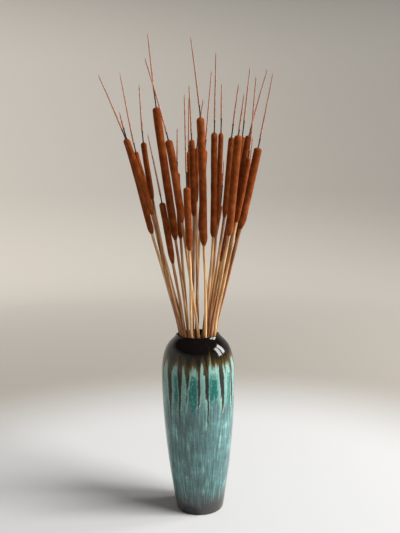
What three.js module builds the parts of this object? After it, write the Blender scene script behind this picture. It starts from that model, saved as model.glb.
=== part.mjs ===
// A bunch of dried narrow-leaf cattails standing in a glazed stoneware vase.
//
// Millimetres, +Z up. The origin is the centre of the vase's foot, on the
// surface that it stands on, and -Y is the front of the bunch.
// The vase is one solid and each cattail is one solid: stalk, seed head, bare
// length above the head and dry spike, grown as one piece.

import * as THREE from 'three';
import { mergeVertices } from 'three/addons/utils/BufferGeometryUtils.js';

// ---------------------------------------------------------------- vase sizes
const VASE_HEIGHT = 300;
const FOOT_RADIUS = 38.5;
const FOOT_BEVEL = 1.5;
const MOUTH_RADIUS = 33.5;    // inside the lip
const LIP_RADIUS = 37;        // outside the lip
const LIP_HEIGHT = 4;         // short upright edge above the shoulder
const LIP_EDGE = 1;           // bevel on both edges of the lip
const WALL = 5;
const FLOOR = 9;              // thickness of the vase's bottom
const VASE_SIDES = 32;
const VASE_RINGS = 17;

// Outside of the vase above its bevelled foot, as [radius, height]: a slim
// body that widens to a high, round shoulder.
const VASE_OUTLINE = [
  [FOOT_RADIUS + FOOT_BEVEL, FOOT_BEVEL],
  [45, 36],
  [53, 94],
  [59.5, 170],
  [61, 234],
  [58.5, 264],
  [50, 287],
  [LIP_RADIUS + 1, VASE_HEIGHT - LIP_HEIGHT],
];

// ------------------------------------------------------------- cattail sizes
const STALK_RADIUS = 2.5;     // at the head
const STALK_FOOT_RADIUS = 2.8; // at the cut end
const NECK_RADIUS = 1.4;      // bare black length above the head
const SPIKE_TIP_RADIUS = 0.5;
const HEAD_SHOULDER = 5;      // length over which a head rounds in at its ends
const HEAD_END_RISE = 1;
const HEAD_END_SHARE = 0.7;   // of the head's radius, at that distance from its end
const SPIKE_POINT = 2;        // length of the spike's very tip
const FOOT_GAP = 1.3;         // between the middle of a cut end and the vase's floor
const CATTAIL_SIDES = 7;
const RING_SPACING = 55;      // longest straight step along a cattail

// One row for each cattail, from left to right, in whole millimetres:
//   mouth  where it passes the vase's mouth, as [x, y]
//   base   bottom of the seed head, as [x, z]
//   top    top of the seed head, as [x, z]
//   neck   length of the bare part above the head
//   tip    end of the spike, as [x, z]
//   depth  y of the head's top
//   width  diameter of the head
//   bow    how far the stalk bends to the right (+) or left (-) below the head
const CATTAILS = [
  { mouth: [-30, -1], base: [-73, 468], top: [-111, 621], neck: 14,
    tip: [-152, 722], depth: -6, width: 11, bow: 1 },
  { mouth: [-27, -8], base: [-70, 500], top: [-106, 618], neck: 18,
    tip: [-116, 661], depth: -38, width: 10, bow: -2 },
  { mouth: [-26, 13], base: [-77, 520], top: [-99, 602], neck: 14,
    tip: [-123, 733], depth: 34, width: 9, bow: 0 },
  { mouth: [-28, 6], base: [-71, 524], top: [-84, 616], neck: 18,
    tip: [-89, 710], depth: 12, width: 10, bow: -1 },
  { mouth: [-26, -14], base: [-41, 421], top: [-54, 519], neck: 13,
    tip: [-74, 628], depth: -26, width: 11, bow: 1 },
  { mouth: [-14, 2], base: [-33, 457], top: [-61, 670], neck: 24,
    tip: [-72, 785], depth: -6, width: 14, bow: 1 },
  { mouth: [2, -22], base: [-22, 487], top: [-41, 616], neck: 11,
    tip: [-74, 739], depth: -48, width: 13, bow: 0 },
  { mouth: [-16, 12], base: [-26, 457], top: [-30, 566], neck: 18,
    tip: [-29, 641], depth: 30, width: 9, bow: 0 },
  { mouth: [-11, -14], base: [-11, 444], top: [-13, 543], neck: 24,
    tip: [-14, 682], depth: -60, width: 12, bow: 1 },
  { mouth: [-7, -4], base: [-3, 496], top: [-5, 618], neck: 10,
    tip: [-8, 705], depth: -12, width: 10, bow: 0 },
  { mouth: [-5, 13], base: [-10, 501], top: [-11, 601], neck: 11,
    tip: [-9, 695], depth: 48, width: 9, bow: 0 },
  { mouth: [1, 6], base: [1, 518], top: [3, 606], neck: 14,
    tip: [15, 687], depth: 18, width: 9, bow: 0 },
  { mouth: [12, -21], base: [12, 450], top: [9, 650], neck: 18,
    tip: [-4, 769], depth: -46, width: 13, bow: 2 },
  { mouth: [-1, 23], base: [7, 467], top: [17, 604], neck: 17,
    tip: [30, 741], depth: 60, width: 9, bow: -1 },
  { mouth: [7, -8], base: [26, 462], top: [31, 628], neck: 18,
    tip: [35, 753], depth: -22, width: 11, bow: 2 },
  { mouth: [14, 4], base: [33, 480], top: [43, 630], neck: 23,
    tip: [45, 712], depth: 24, width: 9, bow: 1 },
  { mouth: [12, 20], base: [35, 478], top: [44, 565], neck: 15,
    tip: [46, 650], depth: 72, width: 9, bow: 0 },
  { mouth: [18, 10], base: [30, 438], top: [42, 511], neck: 34,
    tip: [49, 590], depth: 44, width: 7, bow: 0 },
  { mouth: [16, -12], base: [45, 494], top: [58, 620], neck: 20,
    tip: [70, 704], depth: -28, width: 10, bow: -1 },
  { mouth: [23, -18], base: [52, 466], top: [67, 621], neck: 8,
    tip: [76, 684], depth: -62, width: 13, bow: 0 },
  { mouth: [22, 3], base: [58, 479], top: [78, 624], neck: 25,
    tip: [92, 738], depth: 22, width: 11, bow: 0 },
  { mouth: [22, -5], base: [62, 475], top: [89, 624], neck: 10,
    tip: [120, 732], depth: -2, width: 12, bow: 1 },
  { mouth: [25, -13], base: [64, 486], top: [84, 588], neck: 10,
    tip: [96, 713], depth: -34, width: 9, bow: 0 },
  { mouth: [26, -6], base: [70, 474], top: [100, 604], neck: 14,
    tip: [124, 721], depth: -8, width: 14, bow: 0 },
  { mouth: [29, 4], base: [69, 452], top: [86, 540], neck: 16,
    tip: [97, 625], depth: 32, width: 9, bow: -1 },
  { mouth: [23, 15], base: [43, 416], top: [59, 512], neck: 15,
    tip: [66, 600], depth: 50, width: 7, bow: 0 },
];

// ---------------------------------------------------------- how they settle
// The stalks stand in a spiral: each cut end is turned round the vase from its
// place in the mouth, so that straight stalks cross without meeting and leave
// the middle open. Each is then nudged clear of the rest.
const SPIRAL_TURN = THREE.MathUtils.degToRad(110);
const SPIRAL_SPREAD = 1.15;   // the cut ends' distance from the middle, by the mouth's
const STRAIGHT_SHARE = 0.85;  // of the way down from the mouth is quite straight
const LEVEL_STEP = 6;         // height between the points of a stalk
const SETTLE_ROUNDS = 900;
const CLEARANCE = 1.4;        // gap that the nudges aim for
const SIDEWAYS_SHARE = 0.15;  // at and above the lip, nudges go mostly front to back
const FREE_DEPTH = 290;       // depth below the lip where they go either way
const FREE_WELL = { x: 0, y: 0, z: 0, radius: 10 };   // kept open from floor to mouth
const CURVE_SAMPLES = 240;
const UP = new THREE.Vector3(0, 0, 1);

export default cattailsInVase();

function cattailsInVase() {
  const group = new THREE.Group();
  const outside = vaseOutside();
  const inside = vaseInside(outside);
  group.add(vase(outside, inside));
  const stalks = CATTAILS.map((row) => stalkOnItsCurve(row));
  settle(stalks, inside);
  stalks.forEach((stalk, i) => {
    const number = String(i + 1).padStart(2, '0');
    group.add(cattail(`cattail_${number}`, stalk));
  });
  return group;
}

// ---------------------------------------------------------------------- vase
function vaseOutside() {
  const points = VASE_OUTLINE.map(([radius, z]) => new THREE.Vector2(radius, z));
  return new THREE.SplineCurve(points).getSpacedPoints(VASE_RINGS);
}

// The inside follows the outside at the wall's thickness, from the floor up to
// the upright edge of the mouth.
function vaseInside(outside) {
  const inside = [];
  for (let i = 1; i < outside.length - 1; i += 1) {
    const along = outside[i + 1].clone().sub(outside[i - 1]).normalize();
    const x = outside[i].x - along.y * WALL;
    const y = outside[i].y + along.x * WALL;
    if (y > FLOOR + WALL && y < VASE_HEIGHT - 2 * LIP_HEIGHT && x > MOUTH_RADIUS) {
      inside.push(new THREE.Vector2(x, y));
    }
  }
  inside.unshift(new THREE.Vector2(inside[0].x - WALL, FLOOR));
  inside.push(new THREE.Vector2(MOUTH_RADIUS, VASE_HEIGHT - 2 * LIP_HEIGHT));
  return inside;
}

function vase(outside, inside) {
  const profile = [
    new THREE.Vector2(0, 0),
    new THREE.Vector2(FOOT_RADIUS, 0),
    ...outside,
    new THREE.Vector2(LIP_RADIUS, VASE_HEIGHT - LIP_EDGE),
    new THREE.Vector2(LIP_RADIUS - LIP_EDGE, VASE_HEIGHT),
    new THREE.Vector2(MOUTH_RADIUS + LIP_EDGE, VASE_HEIGHT),
    new THREE.Vector2(MOUTH_RADIUS, VASE_HEIGHT - LIP_EDGE),
    ...inside.toReversed(),
    new THREE.Vector2(0, FLOOR),
  ];
  const glaze = new THREE.MeshStandardMaterial({ color: 0x3f6f68, roughness: 0.22 });
  const mesh = new THREE.Mesh(turned(profile, VASE_SIDES), glaze);
  mesh.name = 'vase';
  return mesh;
}

// A closed solid of revolution about Z, from a profile of [radius, height].
function turned(profile, sides) {
  const lathe = new THREE.LatheGeometry(profile, sides);
  lathe.rotateX(Math.PI / 2);
  lathe.deleteAttribute('normal');
  lathe.deleteAttribute('uv');
  return mergeVertices(lathe, 1e-4);
}

// ------------------------------------------------------------------ cattails
// A stalk is a chain of points a level apart, from its cut end on the vase's
// floor to the tip of its spike, with the cattail's radius at each.
function stalkOnItsCurve(row) {
  const [mouthX, mouthY] = row.mouth;
  const [baseX, baseZ] = row.base;
  const [topX, topZ] = row.top;
  const [tipX, tipZ] = row.tip;
  const footZ = FLOOR + FOOT_GAP;
  const leanY = (row.depth - mouthY) / (topZ - VASE_HEIGHT);
  const depthAt = (z) => mouthY + leanY * (z - VASE_HEIGHT);
  const midZ = (VASE_HEIGHT + baseZ) / 2;
  const mouth = new THREE.Vector3(mouthX, mouthY, VASE_HEIGHT);
  const foot = footOfStalk(mouthX, mouthY, footZ);
  const curve = new THREE.CatmullRomCurve3([
    foot.clone().lerp(mouth, STRAIGHT_SHARE),
    mouth,
    new THREE.Vector3((mouthX + baseX) / 2 + row.bow, depthAt(midZ), midZ),
    new THREE.Vector3(baseX, depthAt(baseZ), baseZ),
    new THREE.Vector3(topX, row.depth, topZ),
    new THREE.Vector3(tipX, depthAt(tipZ), tipZ),
  ]);
  const samples = [foot, ...curve.getPoints(CURVE_SAMPLES)];
  const points = [];
  for (let z = footZ; z < tipZ; z += LEVEL_STEP) {
    points.push(pointAtHeight(samples, z));
  }
  points.push(samples[samples.length - 1].clone());
  const radii = points.map((point) => radiusAt(row, point.z));
  return { row, points, radii };
}

// The cut ends are turned about the middle of the vase, as a florist's spiral
// turns them, so that every stalk passes the others on the same side.
function footOfStalk(mouthX, mouthY, footZ) {
  const foot = new THREE.Vector2(mouthX, mouthY).multiplyScalar(SPIRAL_SPREAD);
  foot.rotateAround(new THREE.Vector2(), SPIRAL_TURN);
  foot.clampLength(0, FOOT_RADIUS - WALL - STALK_FOOT_RADIUS);
  return new THREE.Vector3(foot.x, foot.y, footZ);
}

function pointAtHeight(points, z) {
  let upper = points.findIndex((point) => point.z > z);
  if (upper < 0) upper = points.length - 1;
  upper = Math.max(upper, 1);
  const a = points[upper - 1];
  const b = points[upper];
  return a.clone().lerp(b, (z - a.z) / (b.z - a.z));
}

function radiusAt(row, z) {
  if (z < row.base[1] - HEAD_SHOULDER) return STALK_FOOT_RADIUS;
  if (z <= row.top[1] + HEAD_SHOULDER) return row.width / 2;
  return NECK_RADIUS;
}

// Nudges every stalk clear of the others, of the free well and of the vase's
// wall, wherever two things are closest.
function settle(stalks, inside) {
  for (let round = 0; round < SETTLE_ROUNDS; round += 1) {
    stalks.forEach((stalk, i) => {
      stalks.slice(i + 1).forEach((other) => partTwoStalks(stalk, other));
      keepOutOfTheWell(stalk);
      keepOffTheWall(stalk, inside);
    });
  }
}

function partTwoStalks(a, b) {
  const shared = Math.min(a.points.length, b.points.length);
  const gapAt = (i) => a.points[i].distanceTo(b.points[i]) - a.radii[i] - b.radii[i];
  const level = tightestLevel(shared, gapAt);
  const missing = CLEARANCE - gapAt(level);
  if (missing <= 0) return;
  const move = a.points[level].clone().sub(b.points[level]);
  move.x *= sidewaysShare(a.points[level].z);
  move.setLength(missing / 2);
  nudge(a, level, move);
  nudge(b, level, move.negate());
}

function keepOutOfTheWell(stalk) {
  const fromWell = (i) => stalk.points[i].clone().sub(FREE_WELL).setZ(0);
  const gapAt = (i) => fromWell(i).length() - stalk.radii[i] - FREE_WELL.radius;
  const level = tightestLevel(levelsInVase(), gapAt);
  const missing = -gapAt(level);
  if (missing > 0) nudge(stalk, level, fromWell(level).setLength(missing));
}

function keepOffTheWall(stalk, inside) {
  const outward = (i) => stalk.points[i].clone().setZ(0);
  const roomAt = (i) => insideRadius(inside, stalk.points[i].z) - stalk.radii[i];
  const gapAt = (i) => roomAt(i) - outward(i).length();
  const level = tightestLevel(levelsInVase(), gapAt);
  const missing = CLEARANCE - gapAt(level);
  if (missing > 0) nudge(stalk, level, outward(level).setLength(-missing));
}

function levelsInVase() {
  return Math.ceil((VASE_HEIGHT - FLOOR) / LEVEL_STEP) + 1;
}

function tightestLevel(levels, gapAt) {
  let tightest = 0;
  for (let i = 1; i < levels; i += 1) {
    if (gapAt(i) < gapAt(tightest)) tightest = i;
  }
  return tightest;
}

// A stalk is held at its cut end, in the mouth and at the top of its head, and
// every height follows these three by shares that change evenly between them.
function shares(stalk, z) {
  const footZ = stalk.points[0].z;
  const topZ = stalk.row.top[1];
  if (z < VASE_HEIGHT) {
    const up = (z - footZ) / (VASE_HEIGHT - footZ);
    return [1 - up, up, 0];
  }
  const up = Math.min((z - VASE_HEIGHT) / (topZ - VASE_HEIGHT), 1);
  return [0, 1 - up, up];
}

// Moves the three held points so that the stalk's point at a level moves as
// asked, and the rest of the stalk stays as straight as it was.
function nudge(stalk, level, move) {
  const pulls = shares(stalk, stalk.points[level].z);
  const sidePulls = pulls.map((pull, i) => (i === 0 ? pull : pull * SIDEWAYS_SHARE));
  const mixed = (a, b) => a.reduce((sum, value, i) => sum + value * b[i], 0);
  const sidePull = mixed(sidePulls, pulls);
  const pull = mixed(pulls, pulls);
  stalk.points.forEach((point) => {
    const follows = shares(stalk, point.z);
    point.x += (move.x * mixed(follows, sidePulls)) / sidePull;
    point.y += (move.y * mixed(follows, pulls)) / pull;
  });
}

// How freely a stalk moves to the side: fully when deep in the vase.
function sidewaysShare(z) {
  const deep = THREE.MathUtils.clamp((VASE_HEIGHT - z) / FREE_DEPTH, 0, 1);
  return THREE.MathUtils.lerp(SIDEWAYS_SHARE, 1, deep);
}

// Inner radius of the vase at a height, between the points of its inside.
function insideRadius(inside, z) {
  const upper = inside.findIndex((point) => point.y > z);
  if (upper < 0) return MOUTH_RADIUS;
  const a = inside[Math.max(upper - 1, 0)];
  const b = inside[upper];
  return a === b ? a.x : THREE.MathUtils.mapLinear(z, a.y, b.y, a.x, b.x);
}

// A cattail is turned upright at its own heights and then bent onto its stalk.
function cattail(name, { row, points }) {
  const straw = new THREE.MeshStandardMaterial({ color: 0x8a4310, roughness: 0.95 });
  const geometry = turned(cattailProfile(row, points[0].z), CATTAIL_SIDES);
  bendOnto(geometry, points);
  const mesh = new THREE.Mesh(geometry, straw);
  mesh.name = name;
  return mesh;
}

function cattailProfile(row, footZ) {
  const baseZ = row.base[1];
  const topZ = row.top[1];
  const tipZ = row.tip[1];
  const headRadius = row.width / 2;
  const spikeZ = topZ + row.neck;
  const profile = [new THREE.Vector2(0, footZ), new THREE.Vector2(STALK_FOOT_RADIUS, footZ)];
  addSteps(profile, STALK_RADIUS, baseZ);
  profile.push(new THREE.Vector2(headRadius * HEAD_END_SHARE, baseZ + HEAD_END_RISE));
  profile.push(new THREE.Vector2(headRadius, baseZ + HEAD_SHOULDER));
  addSteps(profile, headRadius, topZ - HEAD_SHOULDER);
  profile.push(new THREE.Vector2(headRadius * HEAD_END_SHARE, topZ - HEAD_END_RISE));
  profile.push(new THREE.Vector2(NECK_RADIUS, topZ));
  profile.push(new THREE.Vector2(NECK_RADIUS, spikeZ));
  addSteps(profile, SPIKE_TIP_RADIUS, tipZ - SPIKE_POINT);
  profile.push(new THREE.Vector2(0, tipZ));
  return profile;
}

// Rings from the profile's last point up to a radius and height, evenly spaced.
function addSteps(profile, radius, z) {
  const last = profile[profile.length - 1];
  const steps = Math.ceil((z - last.y) / RING_SPACING);
  const end = new THREE.Vector2(radius, z);
  for (let i = 1; i <= steps; i += 1) {
    profile.push(last.clone().lerp(end, i / steps));
  }
}

// Moves each ring of an upright solid onto the chain of points, square to it.
function bendOnto(geometry, points) {
  const position = geometry.getAttribute('position');
  const vertex = new THREE.Vector3();
  for (let i = 0; i < position.count; i += 1) {
    vertex.fromBufferAttribute(position, i);
    const centre = pointAtHeight(points, vertex.z);
    const ahead = pointAtHeight(points, vertex.z + LEVEL_STEP);
    const behind = pointAtHeight(points, vertex.z - LEVEL_STEP);
    const along = ahead.sub(behind).normalize();
    const tilt = new THREE.Quaternion().setFromUnitVectors(UP, along);
    vertex.z = 0;
    vertex.applyQuaternion(tilt).add(centre);
    position.setXYZ(i, vertex.x, vertex.y, vertex.z);
  }
}
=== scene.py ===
import math
import random

import bmesh
import bpy
from mathutils import Matrix, Vector, noise


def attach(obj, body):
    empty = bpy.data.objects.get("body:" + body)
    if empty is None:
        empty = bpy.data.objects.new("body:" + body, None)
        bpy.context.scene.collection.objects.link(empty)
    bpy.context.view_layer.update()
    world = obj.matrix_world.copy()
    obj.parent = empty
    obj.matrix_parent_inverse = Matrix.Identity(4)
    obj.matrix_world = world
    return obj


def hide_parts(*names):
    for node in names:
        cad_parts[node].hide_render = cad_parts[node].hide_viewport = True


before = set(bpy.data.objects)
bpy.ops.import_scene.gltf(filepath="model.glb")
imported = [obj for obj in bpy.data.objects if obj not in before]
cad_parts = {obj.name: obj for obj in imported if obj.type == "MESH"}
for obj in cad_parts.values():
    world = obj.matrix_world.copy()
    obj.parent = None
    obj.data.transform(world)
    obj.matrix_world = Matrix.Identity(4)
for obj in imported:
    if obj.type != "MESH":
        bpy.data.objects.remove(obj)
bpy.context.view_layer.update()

# ------------------------------------------------------------------ the vase
# A slim stoneware vase, thrown on the wheel in one piece with a wall of about 5 mm.
# A black-brown iron glaze on the lip and shoulder has run down over a blue-green
# copper glaze in the kiln. The underside of the foot is bare fired clay.
WELD = 1e-6                   # metres within which points are the same point
VASE_SIDES = 64
VASE_GIRTH = 0.061            # radius at the belly, to which patterns are unrolled
FOOT_FLAT = 0.94              # share of the foot's radius that stays quite flat
STREAK_SQUEEZE = 0.085        # share to which heights are squeezed, to draw a streak out
WAVE_SQUEEZE = 0.14
WAVER = 0.064                 # how far a run strays sideways, as a share of half a turn
RAGGEDNESS = 0.014            # and how far its edge does
FOOT_PATCH = (-0.016, -0.036, 0.002)  # centre of a blue-black patch
FOOT_PATCH_RADII = (0.010, 0.022)     # where it begins to fade, and where it ends
RUN_HEIGHTS = (0.130, 0.266)  # heights between which the runs reach down
# One colour gives way to the next between these heights. Noise first moves each height by
# some centimetres, so the colours change higher or lower than the numbers say.
FOOT_FADE = (-0.005, 0.04)            # charcoal at the foot gives way to the body
BAND_HEIGHTS = (0.160, 0.176)         # and the calm body to the fast-run glaze
POOL_HEIGHTS = (0.266, 0.290)         # and deep teal to pale mint
COAT_HEIGHTS = (0.213, 0.226)         # and the runs to iron glaze
THICK_COAT_HEIGHTS = (0.220, 0.240)   # and olive iron glaze to black


def rings_of(node):
    """Radius and centre of each ring of a turned CAD piece, from its foot to its end."""
    bm = bmesh.new()
    bm.from_mesh(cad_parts[node].data)
    bmesh.ops.remove_doubles(bm, verts=bm.verts, dist=WELD)
    bm.verts.index_update()
    poles = [v for v in bm.verts if len(v.link_edges) > 6]
    ring = [min(poles, key=lambda v: v.co.z)]
    seen = set(ring)
    rings = []
    while ring:
        centre = sum((v.co for v in ring), Vector()) / len(ring)
        rings.append(((ring[0].co - centre).length, centre))
        beyond = {e.other_vert(v) for v in ring for e in v.link_edges} - seen
        # In a fixed order, so that every run of this script rounds the sums alike.
        ring = sorted(beyond, key=lambda v: v.index)
        seen.update(ring)
    bm.free()
    return rings


def turned(outline, sides):
    """A closed solid of revolution about Z, from an outline of (radius, height) points."""
    bm = bmesh.new()
    points = [bm.verts.new((radius, 0, height)) for radius, height in outline]
    edges = [bm.edges.new(pair) for pair in zip(points, points[1:])]
    bmesh.ops.spin(bm, geom=points + edges, cent=(0, 0, 0), axis=(0, 0, 1),
                   angle=math.tau, steps=sides, use_merge=True)
    bmesh.ops.remove_doubles(bm, verts=bm.verts, dist=WELD)
    bmesh.ops.recalc_face_normals(bm, faces=bm.faces)
    return bm


def finished(bm, name, materials):
    """A smooth-shaded piece in the scene, made from a bmesh."""
    for face in bm.faces:
        face.smooth = True
    mesh = bpy.data.meshes.new(name)
    bm.to_mesh(mesh)
    bm.free()
    for material in materials:
        mesh.materials.append(material)
    piece = bpy.data.objects.new(name, mesh)
    bpy.context.scene.collection.objects.link(piece)
    return piece


def linear(colour):
    """An sRGB hex colour, or a plain number, as linear red, green, blue and alpha."""
    if not isinstance(colour, str):
        return [colour, colour, colour, 1]
    parts = [int(colour[i:i + 2], 16) / 255 for i in (1, 3, 5)]
    return [c / 12.92 if c < 0.04045 else ((c + 0.055) / 1.055) ** 2.4 for c in parts] + [1]


def add_node(nodes, kind, inputs=(), stops=(), **settings):
    """Adds a node, fills its live inputs, in order or by name, and returns its output."""
    node = nodes.new(kind)
    for name, value in settings.items():
        setattr(node, name, value)
    live = [socket for socket in node.inputs if socket.enabled]
    named = inputs.items() if isinstance(inputs, dict) else zip(live, inputs)
    for key, value in named:
        socket = next(s for s in live if key in (s, s.name))
        if isinstance(value, bpy.types.NodeSocket):
            node.id_data.links.new(value, socket)
        else:
            socket.default_value = linear(value) if isinstance(value, str) else value
    if stops:
        ramp = node.color_ramp.elements
        ramp.remove(ramp[-1])
        ramp[0].position, ramp[0].color = stops[0][0], linear(stops[0][1])
        for place, colour in stops[1:]:
            ramp.new(place).color = linear(colour)
    return next((socket for socket in node.outputs if socket.enabled), None)


def new_material(name):
    """An empty material and its nodes."""
    material = bpy.data.materials.new(name)
    material.use_nodes = True
    material.node_tree.nodes.clear()
    return material, material.node_tree.nodes


def degrees_round(stops):
    """Ramp stops set by degrees round one half of the vase, from its middle to the right."""
    return [(0.5 + degrees / 180, colour) for degrees, colour in stops]


def running_glaze():
    """Two stoneware glazes that have run together: glassy, with runs, streaks and pinholes."""
    material, nodes = new_material("running_glaze")
    place = add_node(nodes, "ShaderNodeTexCoord").node.outputs["Object"]
    apart = add_node(nodes, "ShaderNodeSeparateXYZ", [place]).node.outputs
    height = apart["Z"]
    flat = add_node(nodes, "ShaderNodeVectorMath", [place, (1, 1, 0)], operation="MULTIPLY")
    unit = add_node(nodes, "ShaderNodeVectorMath", [flat], operation="NORMALIZE")
    belly = add_node(nodes, "ShaderNodeVectorMath", [unit, (VASE_GIRTH,) * 3],
                     operation="MULTIPLY")
    # Streaks are about 3 mm wide and 35 mm long, and waves 8 mm wide and 57 mm long.
    upright = add_node(nodes, "ShaderNodeVectorMath", [place, (0, 0, STREAK_SQUEEZE)],
                       operation="MULTIPLY")
    streak_place = add_node(nodes, "ShaderNodeVectorMath", [belly, upright], operation="ADD")
    upright = add_node(nodes, "ShaderNodeVectorMath", [place, (0, 0, WAVE_SQUEEZE)],
                       operation="MULTIPLY")
    wave_place = add_node(nodes, "ShaderNodeVectorMath", [belly, upright], operation="ADD")
    streaks = add_node(nodes, "ShaderNodeTexNoise",
                       {"Vector": streak_place, "Scale": 330, "Detail": 3, "Roughness": 0.6})
    waves = add_node(nodes, "ShaderNodeTexNoise",
                     {"Vector": wave_place, "Scale": 125, "Detail": 2, "Roughness": 0.5})
    mottle = add_node(nodes, "ShaderNodeTexNoise",
                      {"Vector": place, "Scale": 260, "Detail": 4, "Roughness": 0.65})
    clouds = add_node(nodes, "ShaderNodeTexNoise",
                      {"Vector": place, "Scale": 40, "Detail": 3, "Roughness": 0.5})

    # The body: muted grey-green, finely streaked, fading to charcoal near the foot.
    blend = add_node(nodes, "ShaderNodeMath", [clouds, 0.6, streaks], operation="MULTIPLY_ADD")
    body = add_node(nodes, "ShaderNodeValToRGB", [blend], stops=[
        (0.60, "#425a5b"), (0.72, "#4e6f70"), (0.84, "#598182"), (0.96, "#6b9a99"),
        (1.0, "#88b6b3")])
    grey = add_node(nodes, "ShaderNodeMapRange",
                    {"Value": mottle, "From Min": 0.5, "From Max": 0.66, "To Max": 0.5},
                    interpolation_type="SMOOTHSTEP")
    body = add_node(nodes, "ShaderNodeMix", [grey, body, "#475a58"], data_type="RGBA")
    low = add_node(nodes, "ShaderNodeMath", [clouds, 0.06], operation="MULTIPLY")
    low = add_node(nodes, "ShaderNodeMath", [height, low], operation="SUBTRACT")
    low = add_node(nodes, "ShaderNodeMath", [streaks, 0.03, low], operation="MULTIPLY_ADD")
    foot = add_node(nodes, "ShaderNodeMapRange",
                    {"Value": low, "From Min": FOOT_FADE[0], "From Max": FOOT_FADE[1],
                     "To Min": 1, "To Max": 0}, interpolation_type="SMOOTHSTEP")
    body = add_node(nodes, "ShaderNodeMix", [foot, body, "#403f3e"], data_type="RGBA")
    # One blue-black patch by the foot, where the glaze pooled.
    patch = add_node(nodes, "ShaderNodeVectorMath", [place, FOOT_PATCH], operation="DISTANCE")
    patch = add_node(nodes, "ShaderNodeMapRange",
                     {"Value": patch, "From Min": FOOT_PATCH_RADII[0],
                      "From Max": FOOT_PATCH_RADII[1], "To Min": 1, "To Max": 0},
                     interpolation_type="SMOOTHSTEP")
    body = add_node(nodes, "ShaderNodeMix", [patch, body, "#0b0f1c"], data_type="RGBA")

    # The place round each half of the vase runs from 0 at its left side, through 0.5 at the
    # front or back, to 1 at its right, and wavers by some degrees as a run would.
    turn = add_node(nodes, "ShaderNodeMath", [apart["Y"], -1], operation="MULTIPLY")
    turn = add_node(nodes, "ShaderNodeMath", [apart["X"], turn], operation="ARCTAN2")
    turn = add_node(nodes, "ShaderNodeMath", [turn, math.pi / 2], operation="ADD")
    turn = add_node(nodes, "ShaderNodeMath", [turn, math.pi], operation="PINGPONG")
    around = add_node(nodes, "ShaderNodeMath", [turn, 1 / math.pi, -(WAVER + RAGGEDNESS) / 2],
                      operation="MULTIPLY_ADD")
    around = add_node(nodes, "ShaderNodeMath", [waves, WAVER, around], operation="MULTIPLY_ADD")
    around = add_node(nodes, "ShaderNodeMath", [streaks, RAGGEDNESS, around],
                      operation="MULTIPLY_ADD")

    # Runs of iron glaze, by degrees round the vase: the share of the way down that each
    # reaches, with none of it where the share is 0. They are worn through in places.
    runs = add_node(nodes, "ShaderNodeValToRGB", [around], stops=degrees_round([
        (-88, 0.2), (-80, 0.7), (-74, 0), (-69, 0.5), (-64, 0), (-57, 0),
        (-49, 0.84), (-42, 0), (-34, 0), (-29, 0.92), (-24.5, 0), (-22, 0), (-18, 0.6), (-13, 0),
        (-3, 0), (1, 0.8), (5, 0), (9, 0), (13, 1), (17.5, 0), (33, 0), (39, 0.85), (44, 0),
        (47, 0.35), (51, 0), (58, 0), (64, 0.76), (69, 0), (76, 0), (82, 0.6), (88, 0.2)]))
    runs.node.color_ramp.interpolation = "EASE"
    worn = add_node(nodes, "ShaderNodeMath", [mottle, 0.5], operation="SUBTRACT")
    runs_worn = add_node(nodes, "ShaderNodeMath", [worn, 0.6, runs], operation="MULTIPLY_ADD")
    fallen = add_node(nodes, "ShaderNodeMapRange",
                      {"Value": height, "From Min": RUN_HEIGHTS[0], "From Max": RUN_HEIGHTS[1],
                       "To Min": 1, "To Max": 0})
    depth = add_node(nodes, "ShaderNodeMath", [runs_worn, fallen], operation="SUBTRACT")

    # Between the runs the glaze is pale mint, and pools to deep teal below the shoulder.
    pools = add_node(nodes, "ShaderNodeValToRGB", [around], stops=degrees_round([
        (-86, 0.3), (-74, 0.8), (-65, 0.1), (-54, 0),
        (-43, 0.3), (-37, 0.95), (-32, 0.4), (-23, 0), (-13, 0.75), (-8, 1), (-4, 0.9),
        (2, 0.1), (10, 0), (17, 0.4), (21, 1), (29, 1), (33, 0.1), (46, 0), (53, 0.6),
        (58, 0.9), (63, 0.2), (74, 0), (84, 0.6)]))
    ripple = add_node(nodes, "ShaderNodeMath", [streaks, 0.5], operation="SUBTRACT")
    pools = add_node(nodes, "ShaderNodeMath", [ripple, 1.8, pools], operation="MULTIPLY_ADD")
    pools = add_node(nodes, "ShaderNodeMath", [worn, 1.8, pools], operation="MULTIPLY_ADD")
    ragged = add_node(nodes, "ShaderNodeMath", [mottle, 0.06, height], operation="MULTIPLY_ADD")
    under_mint = add_node(nodes, "ShaderNodeMapRange",
                          {"Value": ragged, "From Min": POOL_HEIGHTS[0],
                           "From Max": POOL_HEIGHTS[1], "To Min": 1, "To Max": 0},
                          interpolation_type="SMOOTHSTEP")
    pools = add_node(nodes, "ShaderNodeMath", [pools, under_mint], operation="MULTIPLY")
    gaps = add_node(nodes, "ShaderNodeValToRGB", [pools], stops=[
        (0.0, "#769c96"), (0.35, "#5f8c88"), (0.6, "#2f7a75"), (0.9, "#135d58")])
    # A pale mint line edges each run, where the two glazes meet.
    halo = add_node(nodes, "ShaderNodeMath", [ripple, 0.5, depth], operation="MULTIPLY_ADD")
    halo = add_node(nodes, "ShaderNodeMapRange",
                    {"Value": halo, "From Min": -0.26, "From Max": -0.05, "To Max": 0.8},
                    interpolation_type="SMOOTHSTEP")
    gaps = add_node(nodes, "ShaderNodeMix", [halo, gaps, "#8ab6ae"], data_type="RGBA")
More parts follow.
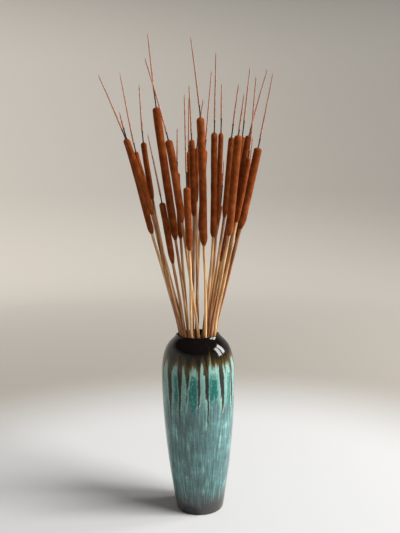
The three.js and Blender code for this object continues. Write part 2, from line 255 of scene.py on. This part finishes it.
    # The fast-run glaze ends in a wandering line, above the calm body.
    calm = add_node(nodes, "ShaderNodeMath", [waves, -0.07, height], operation="MULTIPLY_ADD")
    calm = add_node(nodes, "ShaderNodeMath", [halo, 0.022, calm], operation="MULTIPLY_ADD")
    calm = add_node(nodes, "ShaderNodeMath", [mottle, 0.02, calm], operation="MULTIPLY_ADD")
    band = add_node(nodes, "ShaderNodeMapRange",
                    {"Value": calm, "From Min": BAND_HEIGHTS[0], "From Max": BAND_HEIGHTS[1]},
                    interpolation_type="SMOOTHSTEP")
    glaze = add_node(nodes, "ShaderNodeMix", [band, body, gaps], data_type="RGBA")
    covered = add_node(nodes, "ShaderNodeMapRange",
                       {"Value": depth, "From Min": 0.0, "From Max": 0.13, "To Max": 0.96},
                       interpolation_type="SMOOTHSTEP")
    run_colour = add_node(nodes, "ShaderNodeValToRGB", [depth], stops=[
        (0.06, "#596a62"), (0.16, "#3f4038"), (0.27, "#261f12"), (0.38, "#080504")])
    glaze = add_node(nodes, "ShaderNodeMix", [covered, glaze, run_colour], data_type="RGBA")

    # The iron glaze on the shoulder: olive where it thins out in drips, black where thick.
    drips = add_node(nodes, "ShaderNodeMath", [streaks, -0.028, height],
                     operation="MULTIPLY_ADD")
    drips = add_node(nodes, "ShaderNodeMath", [waves, -0.045, drips], operation="MULTIPLY_ADD")
    drips = add_node(nodes, "ShaderNodeMath", [runs, 0.010, drips], operation="MULTIPLY_ADD")
    thin = add_node(nodes, "ShaderNodeMapRange",
                    {"Value": drips, "From Min": COAT_HEIGHTS[0], "From Max": COAT_HEIGHTS[1]},
                    interpolation_type="SMOOTHSTEP")
    thick = add_node(nodes, "ShaderNodeMapRange",
                     {"Value": drips, "From Min": THICK_COAT_HEIGHTS[0],
                      "From Max": THICK_COAT_HEIGHTS[1]},
                     interpolation_type="SMOOTHSTEP")
    iron = add_node(nodes, "ShaderNodeMix", [thick, "#4a3a10", "#0d0908"], data_type="RGBA")
    glaze = add_node(nodes, "ShaderNodeMix", [thin, glaze, iron], data_type="RGBA")

    # Pinholes: small dark craters, a few to each square centimetre.
    pits = add_node(nodes, "ShaderNodeTexVoronoi", {"Vector": place, "Scale": 190})
    pit = add_node(nodes, "ShaderNodeMapRange",
                   {"Value": pits, "From Min": 0.08, "From Max": 0.20, "To Min": 0.8, "To Max": 0},
                   interpolation_type="SMOOTHSTEP")
    glaze = add_node(nodes, "ShaderNodeMix", [pit, glaze, "#26312e"], data_type="RGBA")

    # The thick iron glaze has levelled out like glass: the rest keeps a slight relief.
    level = add_node(nodes, "ShaderNodeMath", [1, thick], operation="SUBTRACT")
    relief = add_node(nodes, "ShaderNodeMath", [streaks, level], operation="MULTIPLY")
    bump = add_node(nodes, "ShaderNodeBump",
                    {"Strength": 0.22, "Distance": 0.0005, "Height": relief})
    shine = add_node(nodes, "ShaderNodeMapRange",
                     {"Value": mottle, "From Min": 0.3, "From Max": 0.7, "To Min": 0.05,
                      "To Max": 0.10})
    shader = add_node(nodes, "ShaderNodeBsdfPrincipled",
                      {"Base Color": glaze, "Roughness": shine, "IOR": 1.47, "Normal": bump})
    add_node(nodes, "ShaderNodeOutputMaterial", [shader])
    return material


def liner_glaze():
    """Black-brown iron glaze poured inside the vase: glassy and nearly even."""
    material, nodes = new_material("liner_glaze")
    place = add_node(nodes, "ShaderNodeTexCoord").node.outputs["Object"]
    pools = add_node(nodes, "ShaderNodeTexNoise", {"Vector": place, "Scale": 60, "Detail": 3})
    colour = add_node(nodes, "ShaderNodeValToRGB", [pools], stops=[
        (0.35, "#0e0a08"), (0.65, "#241a10")])
    bump = add_node(nodes, "ShaderNodeBump",
                    {"Strength": 0.3, "Distance": 0.0008, "Height": pools})
    shader = add_node(nodes, "ShaderNodeBsdfPrincipled",
                      {"Base Color": colour, "Roughness": 0.16, "IOR": 1.52, "Normal": bump})
    add_node(nodes, "ShaderNodeOutputMaterial", [shader])
    return material


def bare_clay():
    """Unglazed stoneware: buff grey, matt and gritty, with fine iron specks."""
    material, nodes = new_material("bare_clay")
    place = add_node(nodes, "ShaderNodeTexCoord").node.outputs["Object"]
    grit = add_node(nodes, "ShaderNodeTexNoise",
                    {"Vector": place, "Scale": 1100, "Detail": 3, "Roughness": 0.7})
    colour = add_node(nodes, "ShaderNodeValToRGB", [grit], stops=[
        (0.34, "#4a3a2c"), (0.42, "#8d7b68"), (0.7, "#b3a28d")])
    bump = add_node(nodes, "ShaderNodeBump",
                    {"Strength": 0.6, "Distance": 0.0003, "Height": grit})
    shader = add_node(nodes, "ShaderNodeBsdfPrincipled",
                      {"Base Color": colour, "Roughness": 0.9, "Normal": bump})
    add_node(nodes, "ShaderNodeOutputMaterial", [shader])
    return material


def throw_vase():
    """The vase, turned on the outline of its CAD piece and smoothed."""
    outline = [(radius, centre.z) for radius, centre in rings_of("vase")]
    foot_radius = outline[1][0]
    outline.insert(1, (foot_radius * FOOT_FLAT, 0))
    bm = turned(outline, VASE_SIDES)
    floor_height = outline[-1][1]
    for face in bm.faces:
        middle = face.calc_center_median()
        outward = face.normal.dot(middle * Vector((1, 1, 0)))
        if middle.z < WELD:
            face.material_index = 2
        elif outward < 0 or (face.normal.z > 0.5 and middle.z < 2 * floor_height):
            face.material_index = 1
    vase = finished(bm, "glazed_vase", [running_glaze(), liner_glaze(), bare_clay()])
    smooth = vase.modifiers.new("smooth", "SUBSURF")
    smooth.levels = smooth.render_levels = 2
    return vase


vase = throw_vase()
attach(vase, "root")
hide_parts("vase")

# -------------------------------------------------------- the dried cattails
# Twenty-six narrow-leaf cattails, cut when ripe and dried standing in the vase: a thin
# straw-coloured stalk, a velvety brown seed head, a short bare black neck and the dry
# spike that held the pollen flowers.
CATTAIL_SIDES = 16
ROUND_SHARE = 0.93            # radius of a round stem as full as its seven-sided CAD piece
STALK_STEP = 0.012            # height between the rings of a stalk
HEAD_STEP = 0.0018            # and of a seed head
NECK_STEP = 0.003             # and of a neck and spike
KNOT_SPACING = 0.02           # the centreline passes ring centres at least this far apart
HEAD_TAPER = 0.013            # length over which the bottom of a head swells
HEAD_CROWN = 0.005            # length over which its top rounds off
TAPER_BULGE = 1.8             # how full the swelling is, where 1 is a plain cone
FULL_WIDTH = 0.99             # a ring this wide, as a share of the widest, is in the head
NAP = 0.0003                  # how far the seed down stands out between its dimples
NECK_SHARE = 0.8              # radius of a neck, once clear of the head
SPIKE_RADIUS = 0.0015         # at its base
SPIKE_TIP = 0.0008
# Bumps to a metre, and the share of the radius by which they swell or shrink it.
UNEVEN_STALK = (90, 0.06)
UNEVEN_HEAD = (60, 0.05)
UNEVEN_SPIKE = (250, 0.25)


class Centreline:
    """The smooth middle line of a stalk, through the ring centres of its CAD piece."""

    def __init__(self, rings):
        self.knots = [rings[0][1]]
        for _, centre in rings[1:]:
            if centre.z - self.knots[-1].z > KNOT_SPACING:
                self.knots.append(centre)
        self.knots[-1] = rings[-1][1]
        last = len(self.knots) - 1
        self.slopes = []
        for i in range(last + 1):
            run = self.knots[min(i + 1, last)] - self.knots[max(i - 1, 0)]
            self.slopes.append(run / run.z)

    def at(self, z):
        """The point of the centreline at a height, and the line's direction there."""
        last = len(self.knots) - 2
        i = next((k for k in range(last) if self.knots[k + 1].z > z), last)
        a, b = self.knots[i], self.knots[i + 1]
        span = b.z - a.z
        t = (z - a.z) / span
        out, back = self.slopes[i] * span, self.slopes[i + 1] * span
        bend = 2 * a - 2 * b + out + back
        turn = 3 * b - 3 * a - 2 * out - back
        point = ((bend * t + turn) * t + out) * t + a
        along = (3 * bend * t + 2 * turn) * t + out
        return point, along.normalized()


def steps(start, end, longest):
    """Heights from start up to end, without end, at even steps."""
    # A step may be a thousandth too long, so that mere rounding never adds one.
    count = max(1, math.ceil((end - start) / longest - 0.001))
    return [start + (end - start) * i / count for i in range(count)]


def cattail_outline(rings, dice):
    """The outline of an upright cattail, and the heights where its head and spike begin."""
    widest = max(radius for radius, _ in rings)
    # The CAD piece has two rings where its head rounds in at each end.
    full = [i for i, (radius, _) in enumerate(rings) if radius > FULL_WIDTH * widest]
    foot, base, top, spike, tip = (
        rings[i][1].z for i in (0, full[0] - 2, full[-1] + 2, full[-1] + 3, -1))
    foot_radius, stalk_radius, neck_radius = (
        rings[i][0] for i in (1, full[0] - 2, full[-1] + 2))
    taper = HEAD_TAPER * dice.uniform(0.7, 1.5)
    crown = HEAD_CROWN * dice.uniform(0.6, 1.4)
    outline = [(0, foot), (foot_radius, foot)]
    for z in steps(foot + STALK_STEP, base, STALK_STEP):
        share = (z - foot) / (base - foot)
        outline.append((foot_radius + (stalk_radius - foot_radius) * share, z))
    outline.append((stalk_radius, base))
    for z in steps(base + HEAD_STEP / 2, top, HEAD_STEP):
        swell = 1 - max(0, 1 - (z - base) / taper) ** TAPER_BULGE
        round_off = math.sqrt(1 - max(0, 1 - (top - z) / crown) ** 2)
        radius = stalk_radius + (widest - stalk_radius) * swell
        outline.append((neck_radius + (radius - neck_radius) * round_off, z))
    outline.append((neck_radius, top))
    outline += [(neck_radius * NECK_SHARE, z)
                for z in steps(top + NECK_STEP, spike, NECK_STEP)]
    for z in steps(spike, tip - NECK_STEP, NECK_STEP):
        share = (z - spike) / (tip - spike)
        outline.append((SPIKE_RADIUS + (SPIKE_TIP - SPIKE_RADIUS) * share, z))
    outline.append((0, tip))
    return outline, base, top, spike


def grow_cattail(name, materials, dice):
    """One cattail: turned upright, made uneven, given its nap and bent onto its centreline."""
    rings = [(radius * ROUND_SHARE, centre) for radius, centre in rings_of(name)]
    outline, base, top, spike = cattail_outline(rings, dice)
    bm = turned(outline, CATTAIL_SIDES)
    down = []
    for face in bm.faces:
        z = face.calc_center_median().z
        face.material_index = (z > base) + (z > top) + (z > spike)
        if face.material_index == 1:
            down.append(face)
    bmesh.ops.poke(bm, faces=down, offset=NAP, center_mode="MEAN")
    bmesh.ops.triangulate(bm, faces=[f for f in bm.faces if len(f.verts) > 4])
    line = Centreline(rings)
    upright = bm.verts.layers.float_vector.new("upright")
    seed = Vector((dice.uniform(0, 9), dice.uniform(0, 9), dice.uniform(0, 9)))
    for vert in bm.verts:
        vert[upright] = vert.co + seed
        x, y, z = vert.co
        grain, amount = UNEVEN_STALK
        if base < z < top:
            grain, amount = UNEVEN_HEAD
        elif z > spike:
            grain, amount = UNEVEN_SPIKE
        uneven = 1 + amount * noise.noise((vert.co + seed) * grain)
        centre, along = line.at(z)
        tilt = Vector((0, 0, 1)).rotation_difference(along)
        vert.co = centre + tilt @ (Vector((x, y, 0)) * uneven)
    return finished(bm, "dried_" + name, materials)


def straw():
    """Dried cattail stalk: pale tan, faintly glossy skin with fine lengthwise fibres."""
    material, nodes = new_material("straw")
    upright = add_node(nodes, "ShaderNodeAttribute", attribute_name="upright")
    upright = upright.node.outputs["Vector"]
    # Fibres are under a millimetre wide and about 3 cm long. Each stalk has its own tone,
    # partly from stains and partly painted shade, in patches some 20 cm long.
    along = add_node(nodes, "ShaderNodeVectorMath", [upright, (1, 1, 0.025)],
                     operation="MULTIPLY")
    fibres = add_node(nodes, "ShaderNodeTexNoise",
                      {"Vector": along, "Scale": 1300, "Detail": 2, "Roughness": 0.6})
    stain_and_shade = add_node(nodes, "ShaderNodeTexNoise",
                     {"Vector": upright, "Scale": 5, "Detail": 3, "Roughness": 0.5})
    pale = add_node(nodes, "ShaderNodeValToRGB", [fibres], stops=[
        (0.34, "#8a5a30"), (0.46, "#c4955e"), (0.56, "#e2ba86"), (0.68, "#f6dab0")])
    # Painted shade: a darker, shaded copy of the straw colours, laid on along some stalks.
    dark_stain_and_shade = add_node(nodes, "ShaderNodeValToRGB", [fibres], stops=[
        (0.34, "#4a2812"), (0.46, "#805030"), (0.56, "#a8754c"), (0.68, "#cf9c6e")])
    share = add_node(nodes, "ShaderNodeMapRange",
                     {"Value": stain_and_shade, "From Min": 0.44, "From Max": 0.56},
                     interpolation_type="SMOOTHSTEP")
    colour = add_node(nodes, "ShaderNodeMix", [share, pale, dark_stain_and_shade], data_type="RGBA")
    bump = add_node(nodes, "ShaderNodeBump",
                    {"Strength": 0.5, "Distance": 0.0002, "Height": fibres})
    shader = add_node(nodes, "ShaderNodeBsdfPrincipled",
                      {"Base Color": colour, "Roughness": 0.45, "IOR": 1.45, "Normal": bump})
    add_node(nodes, "ShaderNodeOutputMaterial", [shader])
    return material


def seed_down():
    """Packed seed down: matt brown velvet of upright hairs, mottled where it is rubbed."""
    material, nodes = new_material("seed_down")
    upright = add_node(nodes, "ShaderNodeAttribute", attribute_name="upright")
    upright = upright.node.outputs["Vector"]
    patches = add_node(nodes, "ShaderNodeTexNoise",
                       {"Vector": upright, "Scale": 90, "Detail": 3, "Roughness": 0.6})
    grain = add_node(nodes, "ShaderNodeTexNoise",
                     {"Vector": upright, "Scale": 1500, "Detail": 3, "Roughness": 0.7})
    mixed = add_node(nodes, "ShaderNodeMath", [grain, 0.5, patches], operation="MULTIPLY_ADD")
    colour = add_node(nodes, "ShaderNodeValToRGB", [mixed], stops=[
        (0.55, "#642c0e"), (0.75, "#793a15"), (0.95, "#8d4a22")])
    bump = add_node(nodes, "ShaderNodeBump",
                    {"Strength": 0.8, "Distance": 0.0004, "Height": grain})
    shader = add_node(nodes, "ShaderNodeBsdfPrincipled",
                      {"Base Color": colour, "Roughness": 0.95, "Specular IOR Level": 0.15,
                       "Sheen Weight": 0.5, "Sheen Roughness": 0.35,
                       "Sheen Tint": "#eea878", "Normal": bump})
    add_node(nodes, "ShaderNodeOutputMaterial", [shader])
    return material


def bare_neck():
    """The bare length above a head: dried black-brown, hard and slightly shiny."""
    material, nodes = new_material("bare_neck")
    upright = add_node(nodes, "ShaderNodeAttribute", attribute_name="upright")
    upright = upright.node.outputs["Vector"]
    grain = add_node(nodes, "ShaderNodeTexNoise",
                     {"Vector": upright, "Scale": 600, "Detail": 2, "Roughness": 0.6})
    colour = add_node(nodes, "ShaderNodeValToRGB", [grain], stops=[
        (0.35, "#120b09"), (0.6, "#2c1a12"), (0.75, "#5b3a24")])
    bump = add_node(nodes, "ShaderNodeBump",
                    {"Strength": 0.5, "Distance": 0.0002, "Height": grain})
    shader = add_node(nodes, "ShaderNodeBsdfPrincipled",
                      {"Base Color": colour, "Roughness": 0.55, "Normal": bump})
    add_node(nodes, "ShaderNodeOutputMaterial", [shader])
    return material


def spent_spike():
    """The spent flower spike: a rough pinkish-tan stem, knobbly where flowers dropped."""
    material, nodes = new_material("spent_spike")
    upright = add_node(nodes, "ShaderNodeAttribute", attribute_name="upright")
    upright = upright.node.outputs["Vector"]
    knobs = add_node(nodes, "ShaderNodeTexNoise",
                     {"Vector": upright, "Scale": 700, "Detail": 3, "Roughness": 0.7})
    colour = add_node(nodes, "ShaderNodeValToRGB", [knobs], stops=[
        (0.34, "#6e4236"), (0.5, "#a5745e"), (0.66, "#cba692")])
    bump = add_node(nodes, "ShaderNodeBump",
                    {"Strength": 0.7, "Distance": 0.0003, "Height": knobs})
    shader = add_node(nodes, "ShaderNodeBsdfPrincipled",
                      {"Base Color": colour, "Roughness": 0.8, "Normal": bump})
    add_node(nodes, "ShaderNodeOutputMaterial", [shader])
    return material


cattail_materials = [straw(), seed_down(), bare_neck(), spent_spike()]
for name in sorted(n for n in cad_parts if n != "vase"):
    piece = grow_cattail(name, cattail_materials, random.Random(name))
    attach(piece, "root")
    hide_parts(name)

# ---------------------------------------------------------------- the studio
# A plain sweep, near-white underfoot and warm grey beyond, with a tall window in two
# panes to the right, which the glaze reflects, soft daylight from the front right and a
# little light from all round.
CAMERA_PLACE = (0.0055, -1.145, 0.553)
CAMERA_PITCH = math.radians(7)            # downwards
CAMERA_ROLL = math.radians(0.777)
LENS = 47.28                              # millimetres, on a sensor with a long side of 36
SWEEP_RADIUS = 2.6
SWEEP_CURVE = 0.5
SWEEP_HEIGHT = 2.4
WALL_GLOW = 0.21                          # light that the wall gives by itself
PALE_FLOOR = (0.40, 0.90)                 # distances between which white turns to grey
MIDDLE = Vector((0, 0, 0.35))             # of the bunch, which the lights face
WINDOW_WAY = Vector((0.88, 0.04, 0.44)).normalized()
WINDOW_DISTANCE = 2.2
PANE_SIZE = (0.50, 1.15)
PANE_ASIDE = 0.35                         # of each pane's middle from the window's
DAYLIGHT_WAY = Vector((0.70, -0.27, 0.66))
DAYLIGHT_SPREAD = math.radians(30)
CEILING_PLACE = Vector((0, 0, 2.3))
SIDES_OF_SWEEP = 96
DUSK_HEIGHT = 1.1                         # above which the wall darkens


def plain_sweep():
    """A round floor that curves up into a wall, seen from inside."""
    corner = SWEEP_RADIUS - SWEEP_CURVE
    turns = [math.radians(10 * i) for i in range(10)]
    outline = [(0, 0), (1, 0), (1.6, 0)]
    outline += [(corner + SWEEP_CURVE * math.sin(t), SWEEP_CURVE * (1 - math.cos(t)))
                for t in turns]
    outline.append((SWEEP_RADIUS, SWEEP_HEIGHT))
    bm = turned(outline, SIDES_OF_SWEEP)
    bmesh.ops.reverse_faces(bm, faces=bm.faces)
    material, nodes = new_material("painted_sweep")
    place = add_node(nodes, "ShaderNodeTexCoord").node.outputs["Object"]
    away = add_node(nodes, "ShaderNodeVectorMath", [place], operation="LENGTH")
    away = away.node.outputs["Value"]
    far = add_node(nodes, "ShaderNodeMapRange",
                   {"Value": away, "From Min": PALE_FLOOR[0], "From Max": PALE_FLOOR[1]},
                   interpolation_type="SMOOTHSTEP")
    colour = add_node(nodes, "ShaderNodeMix", [far, "#c2c4c6", "#98948e"], data_type="RGBA")
    # Painted shade: it darkens towards the top, so that the glaze reflects no hard edge.
    height = add_node(nodes, "ShaderNodeSeparateXYZ", [place]).node.outputs["Z"]
    top_shade = add_node(nodes, "ShaderNodeMapRange",
                    {"Value": height, "From Min": DUSK_HEIGHT, "From Max": SWEEP_HEIGHT},
                    interpolation_type="SMOOTHSTEP")
    colour = add_node(nodes, "ShaderNodeMix", [top_shade, colour, "#1e1c1b"], data_type="RGBA")
    # Painted light: the wall glows by itself, more the farther out it is, and less where it
    # darkens towards the top.
    glow = add_node(nodes, "ShaderNodeMapRange",
                    {"Value": away, "From Min": 0.6, "From Max": 2.4, "To Max": WALL_GLOW})
    glow = add_node(nodes, "ShaderNodeMath", [top_shade, -WALL_GLOW, glow], operation="MULTIPLY_ADD")
    glow = add_node(nodes, "ShaderNodeMath", [glow, 0], operation="MAXIMUM")
    shader = add_node(nodes, "ShaderNodeBsdfPrincipled",
                      {"Base Color": colour, "Roughness": 0.8, "Specular IOR Level": 0.1,
                       "Emission Color": "#efebe4", "Emission Strength": glow})
    add_node(nodes, "ShaderNodeOutputMaterial", [shader])
    return finished(bm, "sweep", [material])


def area_light(name, place, size, watts, colour):
    """A soft rectangular light at a place, facing the middle of the bunch."""
    light = bpy.data.lights.new(name, "AREA")
    light.shape = "RECTANGLE"
    light.size, light.size_y = size
    light.energy = watts
    light.color = linear(colour)[:3]
    lamp = bpy.data.objects.new(name, light)
    aim = (MIDDLE - place).to_track_quat("-Z", "Y").to_matrix().to_4x4()
    lamp.matrix_world = Matrix.Translation(place) @ aim
    bpy.context.scene.collection.objects.link(lamp)
    return lamp


sweep = plain_sweep()
sweep.visible_shadow = False
window = MIDDLE + WINDOW_WAY * WINDOW_DISTANCE
across = WINDOW_WAY.cross(Vector((0, 0, 1))).normalized()
for side in (-1, 1):
    area_light("window_pane", window + across * side * PANE_ASIDE, PANE_SIZE, 26, "#fffcf8")
daylight_beam = bpy.data.lights.new("daylight", "SUN")
daylight_beam.energy = 4.0
daylight_beam.angle = DAYLIGHT_SPREAD
daylight_beam.color = linear("#fffcf8")[:3]
daylight = bpy.data.objects.new("daylight", daylight_beam)
daylight.rotation_euler = DAYLIGHT_WAY.to_track_quat("Z", "Y").to_euler()
daylight.visible_glossy = False
bpy.context.scene.collection.objects.link(daylight)
ceiling = area_light("ceiling", CEILING_PLACE, (3, 3), 3, "#fffdfa")
ceiling.visible_glossy = False

world = bpy.data.worlds.new("room_light")
bpy.context.scene.world = world
world.use_nodes = True
room = world.node_tree.nodes["Background"]
room.inputs["Color"].default_value = linear("#f4f0ea")
room.inputs["Strength"].default_value = 0.06
bpy.context.scene.view_settings.view_transform = "Standard"

lens = bpy.data.cameras.new("camera")
lens.sensor_width = 36
lens.lens = LENS
camera = bpy.data.objects.new("camera", lens)
camera.matrix_world = (Matrix.Translation(CAMERA_PLACE)
                       @ Matrix.Rotation(math.radians(90) - CAMERA_PITCH, 4, "X")
                       @ Matrix.Rotation(-CAMERA_ROLL, 4, "Z"))
bpy.context.scene.collection.objects.link(camera)
bpy.context.scene.camera = camera
